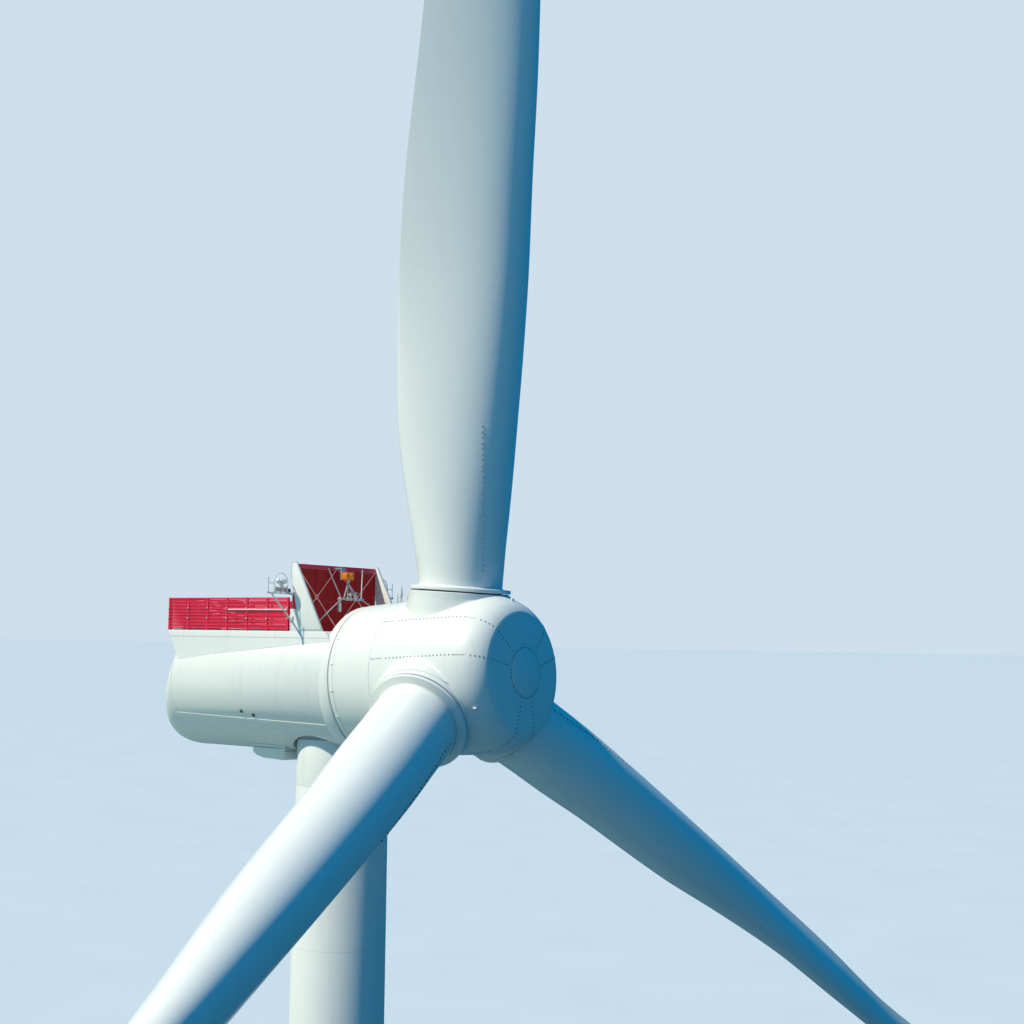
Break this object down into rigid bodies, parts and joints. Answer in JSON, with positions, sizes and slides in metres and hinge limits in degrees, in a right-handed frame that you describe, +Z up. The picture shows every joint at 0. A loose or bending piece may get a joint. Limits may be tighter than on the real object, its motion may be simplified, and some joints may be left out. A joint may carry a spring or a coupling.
{
  "type": "wind turbine nacelle with its rotor and tower top, 1:10 scale model",
  "caption": "Offshore wind turbine head: canopy with hoisting deck and roof cooler, direct drive generator, hub with three blades, on the upper tower section.",
  "frame": {"origin": "centre of the lower flange face of the tower section, on the yaw axis", "axes": "+Z up along the tower, +X forward out of the spinner's nose, +Y to the turbine's left"},
  "size_m": [2.7293, 13.9325, 12.0734],
  "materials": {
    "shell_white": "satin gel coat",
    "blade_white": "satin paint",
    "tower_white": "semi-gloss paint",
    "rail_red": "semi-gloss paint",
    "cooler_red": "matt paint",
    "galvanised": "hot-dip galvanised",
    "grey": "matt paint",
    "orange": "satin paint"
  },
  "bodies": {
    "tower": {"tower_section": "tower_white", "tower_top_section": "tower_white", "tower_flange": "galvanised", "tower_floor": "grey", "yaw_ring": "grey"},
    "nacelle": {"canopy_lower_shell": "shell_white", "canopy_upper_shell": "shell_white", "canopy_end_cap": "shell_white", "canopy_front_ring": "shell_white", "main_bearing": "grey", "belly_box": "shell_white", "deck_trunk": "shell_white", "deck_floor": "grey", "rail_right": "rail_red", "rail_left": "rail_red", "rail_rear": "rail_red", "cooler_fin_right": "shell_white", "cooler_fin_left": "shell_white", "fin_gusset_right": "shell_white", "fin_gusset_left": "shell_white", "cooler_core": "cooler_red", "cooler_top_beam": "rail_red", "cooler_stays_right": "galvanised", "cooler_stays_left": "galvanised", "sensor_frame": "galvanised", "beacon_box": "orange", "beacon_bracket": "galvanised", "light_bracket_right": "galvanised", "light_bracket_left": "galvanised", "deck_light_right": "grey", "deck_light_left": "grey", "antenna_rack": "galvanised"},
    "rotor": {"generator_band": "shell_white", "generator_shell": "shell_white", "spinner_shell": "shell_white", "nose_cap": "shell_white", "pitch_collar_1": "shell_white", "pitch_collar_2": "shell_white", "pitch_collar_3": "shell_white"},
    "blade_a": {"blade_1": "blade_white", "blade_root_ring_1": "shell_white"},
    "blade_b": {"blade_2": "blade_white", "blade_root_ring_2": "shell_white"},
    "blade_c": {"blade_3": "blade_white", "blade_root_ring_3": "shell_white"}
  },
  "joints": [
    {"name": "yaw", "type": "hinge", "parent": "tower", "child": "nacelle", "pos_m": [0, 0, 2.3], "axis": [0, 0, 1], "continuous": true},
    {"name": "rotor_spin", "type": "hinge", "parent": "nacelle", "child": "rotor", "pos_m": [0.5775, 0, 2.564], "axis": [0.9979, 0, 0.0645], "continuous": true},
    {"name": "pitch_1", "type": "hinge", "parent": "rotor", "child": "blade_a", "pos_m": [0.5775, 0, 2.564], "axis": [-0.0558, -0.0052, -0.9984], "range_deg": [-30, 62]},
    {"name": "pitch_2", "type": "hinge", "parent": "rotor", "child": "blade_b", "pos_m": [0.5775, 0, 2.564], "axis": [-0.1522, -0.8571, 0.4921], "range_deg": [-30, 62]},
    {"name": "pitch_3", "type": "hinge", "parent": "rotor", "child": "blade_c", "pos_m": [0.5775, 0, 2.564], "axis": [-0.1516, 0.8623, 0.4831], "range_deg": [-30, 62]}
  ]
}
